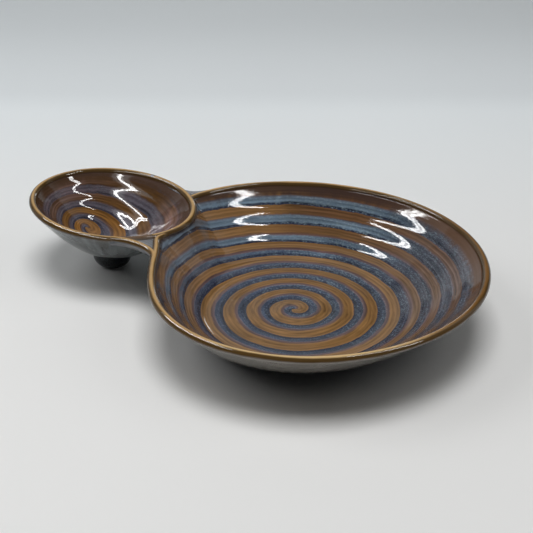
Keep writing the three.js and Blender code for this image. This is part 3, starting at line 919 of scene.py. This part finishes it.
def spiral_colour(w, given):
    """Colour across one ridge of the spiral, from crest to crest. Going outward: amber crest, a dark edge
    on the inner flank of the groove, blue in it, a plum change on its outer flank, and amber again. Up the
    wall the amber turns brown and the blue turns teal with pale flecks. Dusk widens and darkens the pools
    and thins the flecks; Dawn keeps the amber light."""
    wall, dusk, dawn = given["Wall"], given["Dusk"], given["Dawn"]
    cloud = w.centred(given["Cloud"])
    streak = w.centred(given["Streak"])
    line = w.centred(given["Line"])
    turned = w.maths("ARCTAN2", given["Flank"], given["Groove"])
    across = w.times_plus(turned, 1 / TURN, 0.5)
    sway = w.times(streak, w.remap(wall, *SWAY))
    across = w.maths("ADD", across, w.times_plus(cloud, CLOUD_SHIFT, sway))
    across = w.times_plus(line, LINE_SHIFT, across)

    spread = w.times(dusk, w.remap(wall, *DUSK_SPREAD))
    pool_end = w.maths("ADD", w.remap(wall, *POOL_END), spread)
    pool = w.between(across, POOL_START, (pool_end, w.maths("SUBTRACT", pool_end, POOL_EDGE)))
    deep = w.between(across, DEEP_START, (w.remap(wall, *DEEP_END), DEEP_FULL))
    change = w.between(w.maths("SUBTRACT", across, spread), CHANGE_START, CHANGE_END)

    climb = w.times_plus(cloud, CLIMB_CLOUD, wall)
    browning = w.times(w.remap(climb, *BROWN_RISE), w.remap(dawn, 0.0, 1.0, 1.0, DAWN_BROWNING))
    crest = w.blend(browning, given["Crest"], given["High crest"])
    water = w.blend(w.remap(climb, *TEAL_RISE), given["Pool"], given["High pool"])
    water = w.blend(w.times(dusk, DUSK_DEEP), water, given["Deep"])
    colour = w.blend(pool, crest, water)
    change = w.times(change, w.remap(wall, *CHANGE_STRENGTH))
    colour = w.blend(change, colour, given["Change"])
    colour = w.blend(w.times(deep, DEEP_STRENGTH), colour, given["Deep"])
    # plain shares take the Even colour: wiped-smooth glaze, and painted reflections of the room
    plain = w.times(given["Plain"], w.remap(w.maths("ADD", line, cloud), *PLAIN_BREAK))
    colour = w.blend(plain, colour, given["Even"])
    fleck = w.times(w.times(pool, given["Speckle"]), given["Teal"])
    fleck = w.times(fleck, w.remap(dusk, 0.0, 1.0, 1.0, DUSK_FLECKS))
    colour = w.blend(fleck, colour, PALE_TEAL)

    comb_sway = w.times(cloud, COMB_SWAY)
    comb = w.maths("SINE", w.times_plus(across, COMB_LINES * TURN, comb_sway))
    tone = w.times_plus(line, TONE_LINE, w.times_plus(cloud, TONE_CLOUD, 1.0))
    tone = w.times_plus(comb, TONE_COMB, tone)
    tone = w.times_plus(dawn, TONE_DAWN, tone)
    tone = w.put("ShaderNodeCombineColor", {0: tone, 1: tone, 2: tone}).outputs[0]
    return {"Color": w.blend(1.0, colour, tone, "MULTIPLY")}


SPIRAL_VALUES = ("Groove", "Flank", "Wall", "Plain", *MOTTLES, "Teal", "Dusk", "Dawn")
SPIRAL_INPUTS = dict.fromkeys(SPIRAL_VALUES, FLOAT) | dict.fromkeys(DISH_COLOURS, COLOUR)
SPIRAL = group("spiral glaze", SPIRAL_INPUTS, {"Color": COLOUR}, spiral_colour)


def rim_break(w, given):
    """Gold where the glaze runs thin over the top of a lip, kept bright and narrow as a painted highlight on
    its crest, olive brown on the lip's sides, and below it on the inside a dark band whose lower edge is
    drawn down in streaks."""
    below = given["Below lip"]
    ragged = w.centred(given["Streak"])
    cloud = w.centred(given["Cloud"])
    reach = w.times_plus(ragged, BAND_RAGGED, below)
    band = w.times(w.remap(reach, *BAND_REACH), given["Inner side"])
    colour = w.blend(w.times(band, BAND_STRENGTH), given["Color"], given["Band"])
    side = w.remap(w.times_plus(cloud, LIP_SIDE_CLOUD, below), *LIP_SIDE)
    top = w.remap(w.times_plus(cloud, LIP_TOP_CLOUD, below), *LIP_TOP)
    colour = w.blend(side, colour, OLIVE)
    return {"Color": w.blend(top, colour, given["Gold"])}


RIM_COLOURS = ("Color", "Band", "Gold")
RIM_VALUES = ("Below lip", "Inner side", "Cloud", "Streak")
RIM_INPUTS = dict.fromkeys(RIM_COLOURS, COLOUR) | dict.fromkeys(RIM_VALUES, FLOAT)
RIM = group("rim break", RIM_INPUTS, {"Color": COLOUR}, rim_break)


def bare_clay(w, given):
    """Unglazed stoneware: warm buff with darker clouds and dark grit."""
    cloud = w.noise(given["Place"], scale=60.0, detail=4.0, roughness=0.6)
    grit = w.noise(given["Place"], scale=900.0, detail=2.0, roughness=0.5)
    body = w.blend(w.remap(cloud, low=0.35, high=0.65), CLAY, CLAY_DARK)
    grit_strength = 0.6
    grit = w.times(w.remap(grit, low=0.66, high=0.74), grit_strength)
    return {"Color": w.blend(grit, body, SOOT)}


BARE = group("bare clay", {"Place": VECTOR}, {"Color": COLOUR}, bare_clay)


def glaze(name, outside_pair, colours=DISH_COLOURS, band=MAROON, teal=DISH_TEAL, low_dark=NO_LOW_DARK):
    """The platter's glaze on one piece: the spiral inside, the rim break on every lip, a smoky outside that
    is paler in front as painted light and darker low down, and bare clay where the piece was wiped to stand
    on. The gold turns brown to the right as painted shade and pale in front as a painted highlight, and pale
    flecks gather towards one side. Pieces without an inside show only the outside pair and the rim break."""
    material = bpy.data.materials.new(name)
    material.use_nodes = True
    material.node_tree.nodes.clear()
    w = Wiring(material.node_tree)
    place = w.put("ShaderNodeTexCoord").outputs["Object"]
    x = w.axis(place, "X")
    right = w.dot(place, RIGHT_WAY)
    front = w.dot(place, FRONT_WAY)
    below = w.attribute("below_lip")
    inner = w.attribute("inner_side")
    bare = w.attribute("bare")
    spots = w.use(MOTTLE, {"Place": place, "Flow": w.attribute("flow", "Vector")})

    inputs = {key.title(): w.attribute(key) for key in ("groove", "flank", "wall", "plain")}
    inputs |= {key: spots[key] for key in MOTTLES}
    inputs |= colours
    teal_way, teal_low, teal_high = teal
    inputs["Teal"] = w.remap(w.dot(place, teal_way), teal_low, teal_high, FEWEST_FLECKS, 1.0)
    inputs["Dusk"] = w.remap(x, *DUSK_X)
    inputs["Dawn"] = w.between(x, DAWN_X, DAWN_STOP_X)
    spiral = w.use(SPIRAL, inputs)

    smoke_cloud = w.times(spots["Cloud"], SMOKE_CLOUD)
    smoke = w.times_plus(spots["Streak"], SMOKE_STREAK, smoke_cloud)
    outside = w.blend(w.remap(smoke, *SMOKE_RANGE), *outside_pair)
    # painted light: the outside paler in front, below the near rim
    outside = w.blend(w.remap(front, *PAINTED_LIGHT_FRONT), outside, PAINTED_LIGHT_GREY)
    outside = w.blend(w.times(spots["Speckle"], OUTSIDE_FLECKS), outside, PALE_TEAL)
    # darker low down on the outsides, towards the base
    low = w.remap(w.times_plus(spots["Streak"], LOW_DARK_RAGGED, below), *low_dark)
    low = w.times(low, w.maths("SUBTRACT", 1.0, inner))
    outside = w.blend(low, outside, LOW_DARK)

    # painted shade: the gold darker and browner towards the right
    gold = w.blend(w.remap(right, *SHADED_GOLD_RIGHT), GOLD, SHADED_GOLD)
    inputs = {
        "Color": w.blend(inner, outside, spiral["Color"]),
        "Band": w.blend(w.remap(right, *RUST_RIGHT), band, RUST),
        # painted highlight: the gold paler along the front of the rims
        "Gold": w.blend(w.remap(front, *HIGHLIGHT_GOLD_FRONT), gold, HIGHLIGHT_GOLD),
        "Below lip": below,
        "Inner side": inner,
        "Cloud": spots["Cloud"],
        "Streak": spots["Streak"],
    }
    rim = w.use(RIM, inputs)
    clay = w.use(BARE, {"Place": place})

    gloss = w.remap(spots["Cloud"], *GLOSS_ROUGHNESS)
    gloss = w.times_plus(spots["Speckle"], SPECKLE_ROUGHNESS, gloss)
    waves = w.noise(place, scale=140.0, detail=2.0, roughness=0.5)
    height = w.times_plus(spots["Speckle"], SPECKLE_HEIGHT, waves)
    bump = {"Height": height, "Strength": 0.12, "Distance": 0.0006}
    inputs = {
        "Base Color": w.blend(bare, rim["Color"], clay["Color"]),
        "Roughness": w.times_plus(w.maths("MAXIMUM", bare, low), BARE_ROUGHNESS, gloss),
        "Normal": w.put("ShaderNodeBump", bump).outputs[0],
        "IOR": 1.52,
    }
    shader = w.put("ShaderNodeBsdfPrincipled", inputs)
    w.put("ShaderNodeOutputMaterial", {"Surface": shader.outputs[0]})
    return material


GLAZES = {
    "dish_glaze": glaze("dish glaze", (GREY, BROWN_GREY), low_dark=DISH_LOW_DARK),
    "bowl_glaze": glaze("bowl glaze", (SEA_GREY, SMOKE), BOWL_COLOURS, PLUM, BOWL_TEAL, BOWL_LOW_DARK),
    "web_glaze": glaze("web glaze", (BLUE_GREY, SLATE)),
    "foot_glaze": glaze("foot glaze", (SOOT, SOOT)),
    "coil_glaze": glaze("coil glaze", (SMOKE, SLATE)),
}
PIECES = [
    (dish_piece(), "dish", "dish_glaze"),
    (bowl_piece(), "dip_bowl", "bowl_glaze"),
    (foot_piece(), "bowl_foot", "foot_glaze"),
    (web_piece("web_front", 1, **FRONT_WEB), "front_web", "web_glaze"),
    (web_piece("web_back", -1, **BACK_WEB), "back_web", "web_glaze"),
    (coil_piece(), "seam_coil", "coil_glaze"),
]
for piece, node, slot in PIECES:
    piece.data.materials.append(GLAZES[slot])
    piece.name = node + "_glazed"
    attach(piece, "root")
    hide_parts(node)

# Camera, from the photograph's perspective
CAMERA_PLACE = Vector((0.2735, -0.4849, 0.3297))
CAMERA_FORWARD = Vector((-0.4602, 0.7569, -0.4641))
SIDE = (0.8545, 0.5195, 0.0)  # level, to the camera's right
HEADING = (-0.5195, 0.8545, 0.0)  # level, away from the camera

camera_data = bpy.data.cameras.new("camera")
camera_data.lens = 67.54
camera_data.sensor_width = 36.0
camera_data.clip_start = 0.01
camera = add("camera", camera_data)
camera_right = Vector(SIDE)
camera_up = camera_right.cross(CAMERA_FORWARD)
turned = Matrix((camera_right, camera_up, -CAMERA_FORWARD)).transposed().to_4x4()
camera.matrix_world = Matrix.Translation(CAMERA_PLACE) @ turned
bpy.context.scene.camera = camera

# Floor, in metres
SWEEP_ROWS = 120
SWEEP_STEPS = 40
SWEEP_HALF_WIDTH = 2.2
SWEEP_START = -2.0
SWEEP_BEND = 0.75  # where the level part ends
SWEEP_RADIUS = 0.7
SWEEP_WALL = 0.9
NEAR_RUN = (0.0, 0.5)
BACK_RUN = (0.48, 1.2)
CREASE_RUN = (0.40, 0.48)
SHADE_ASIDE = (0.0, 0.35)
SHADE_HEIGHT = (0.35, 0.6)
# the paper's painted light and shade: brighter and cooler out from the platter, darker far behind it
NEAR_PAPER = ((0.86, 0.86, 0.85), (0.90, 0.945, 0.965))
BACK_PAPER = ((0.83, 0.87, 0.89), (0.645, 0.68, 0.695))
SHADED_PAPER = (0.12, 0.12, 0.12)


def sweep_piece():
    """A white sweep: level around the platter, and rising behind it on a quarter circle to a wall."""
    across = np.linspace(-SWEEP_HALF_WIDTH, SWEEP_HALF_WIDTH, SWEEP_STEPS)[None, :]
    quarter = SWEEP_RADIUS * np.pi / 2
    length = (SWEEP_BEND - SWEEP_START) + quarter + SWEEP_WALL
    gone = SWEEP_START + np.linspace(0, 1, SWEEP_ROWS)[:, None] * length
    bend = np.clip((gone - SWEEP_BEND) / SWEEP_RADIUS, 0, np.pi / 2)
    level = np.minimum(gone, SWEEP_BEND) + SWEEP_RADIUS * np.sin(bend)
    x = level * HEADING[0] + across * SIDE[0]
    y = level * HEADING[1] + across * SIDE[1]
    z = SWEEP_RADIUS * (1 - np.cos(bend)) + np.maximum(gone - SWEEP_BEND - quarter, 0)
    points = np.stack(np.broadcast_arrays(x, y, z), -1).reshape(-1, 3)
    at = np.arange(SWEEP_ROWS * SWEEP_STEPS).reshape(SWEEP_ROWS, SWEEP_STEPS)
    quads = np.stack([at[:-1, :-1], at[:-1, 1:], at[1:, 1:], at[1:, :-1]], -1).reshape(-1, 4)
    return add("sweep", smooth_mesh("sweep", points, quads.tolist()))


def white_paper():
    """White near the platter, brighter out from it and darker behind it as painted light and shade, a soft
    crease between, and painted shade high on the right.
    """
    paper = bpy.data.materials.new("white paper")
    paper.use_nodes = True
    shader = paper.node_tree.nodes["Principled BSDF"]
    w = Wiring(paper.node_tree)
    place = w.put("ShaderNodeTexCoord").outputs["Object"]
    away = w.dot(place, HEADING)
    near = w.blend(w.remap(away, *NEAR_RUN), *NEAR_PAPER)
    back = w.blend(w.remap(away, *BACK_RUN), *BACK_PAPER)
    white = w.blend(w.remap(away, *CREASE_RUN), near, back)
    aside = w.remap(w.dot(place, SIDE), *SHADE_ASIDE)
    shaded = w.times(aside, w.remap(w.axis(place, "Z"), *SHADE_HEIGHT))
    w.fill(shader.inputs["Base Color"], w.blend(shaded, white, SHADED_PAPER))
    w.fill(shader.inputs["Roughness"], 0.6)
    w.fill(shader.inputs["Specular IOR Level"], 0.2)
    return paper


sweep = sweep_piece()
sweep.data.materials.append(white_paper())

# Lamps, in metres and watts
MIDDLE = Vector((-0.02, 0.0, 0.03))  # of the platter
BOWL_MIDDLE = Vector((-0.142, 0.0, 0.03))
TUBE_WIDTH = 0.013
TUBE_DISTANCE = 0.9
TUBE_TURN = 2.2  # degrees that a fitting's two tubes lie either side of its middle
TUBE_POWER = 1.5  # for each metre
HOUSING_WIDTH = 0.07
HOUSING_DISTANCE = 0.92
HOUSING_POWER = 1.1


def lamp(name, place, size, power, aim=MIDDLE, seen=True):
    """A rectangular area lamp at a place, turned to a point. A seen lamp only makes reflections in the glaze;
    an unseen one lights the scene and leaves no reflection."""
    data = bpy.data.lights.new(name, "AREA")
    data.shape = "RECTANGLE"
    data.size, data.size_y = size
    data.energy = power
    thing = add(name, data)
    thing.location = place
    thing.rotation_euler = (aim - Vector(place)).to_track_quat("-Z", "Y").to_euler()
    thing.visible_glossy = seen
    thing.visible_diffuse = not seen


def toward(azimuth, elevation, distance):
    """A place seen from the middle of the platter at an azimuth from +X and an elevation, in degrees."""
    a, e = np.radians(azimuth), np.radians(elevation)
    way = Vector((np.cos(a) * np.cos(e), np.sin(a) * np.cos(e), np.sin(e)))
    return way * distance + MIDDLE


lamp("top fill", toward(-60, 80, 2.0), size=(1.0, 1.0), power=25.0, seen=False)
lamp("right fill", toward(22, 45, 1.5), size=(0.9, 0.9), power=2.2, seen=False)
lamp("left fill", toward(-150, 45, 1.5), size=(0.9, 0.9), power=5.6, seen=False)
for side, azimuth, elevation, tall in (("right", 18, 57, 0.60), ("left", -178, 51, 0.48)):
    for strip, turn in (("outer", -TUBE_TURN), ("inner", TUBE_TURN)):
        place = toward(azimuth + turn, elevation, TUBE_DISTANCE)
        lamp(f"{side} {strip} tube", place, (TUBE_WIDTH, tall), TUBE_POWER * tall)
    place = toward(azimuth, elevation, HOUSING_DISTANCE)
    lamp(f"{side} tube housing", place, (HOUSING_WIDTH, tall), HOUSING_POWER * tall)
lamp("bowl tube", (-0.215, -0.11, 0.30), size=(0.34, 0.012), power=0.4, aim=BOWL_MIDDLE)
lamp("bowl tube housing", (-0.217, -0.112, 0.305), size=(0.34, HOUSING_WIDTH), power=0.10, aim=BOWL_MIDDLE)
lamp("back lamp", toward(111, 16, 1.0), size=(0.10, 0.05), power=0.11)

# Room: dim for the scene's light, and brighter behind the platter in reflections
ROOM_COLOUR = (0.95, 0.98, 1.0)
ROOM_LIGHT = 0.02
ROOM_SHINE = (0.08, 0.60)  # in front of the platter and behind it

world = bpy.data.worlds.new("studio")
bpy.context.scene.world = world
world.use_nodes = True
w = Wiring(world.node_tree)
reflected = w.put("ShaderNodeLightPath").outputs["Is Glossy Ray"]
behind = w.dot(w.put("ShaderNodeTexCoord").outputs["Generated"], HEADING)
shine = w.remap(behind, 0.0, 0.75, *ROOM_SHINE)
background = world.node_tree.nodes["Background"]
w.fill(background.inputs["Color"], ROOM_COLOUR)
w.fill(background.inputs["Strength"], w.remap(reflected, 0.0, 1.0, ROOM_LIGHT, shine))

bpy.context.scene.view_settings.view_transform = "Standard"
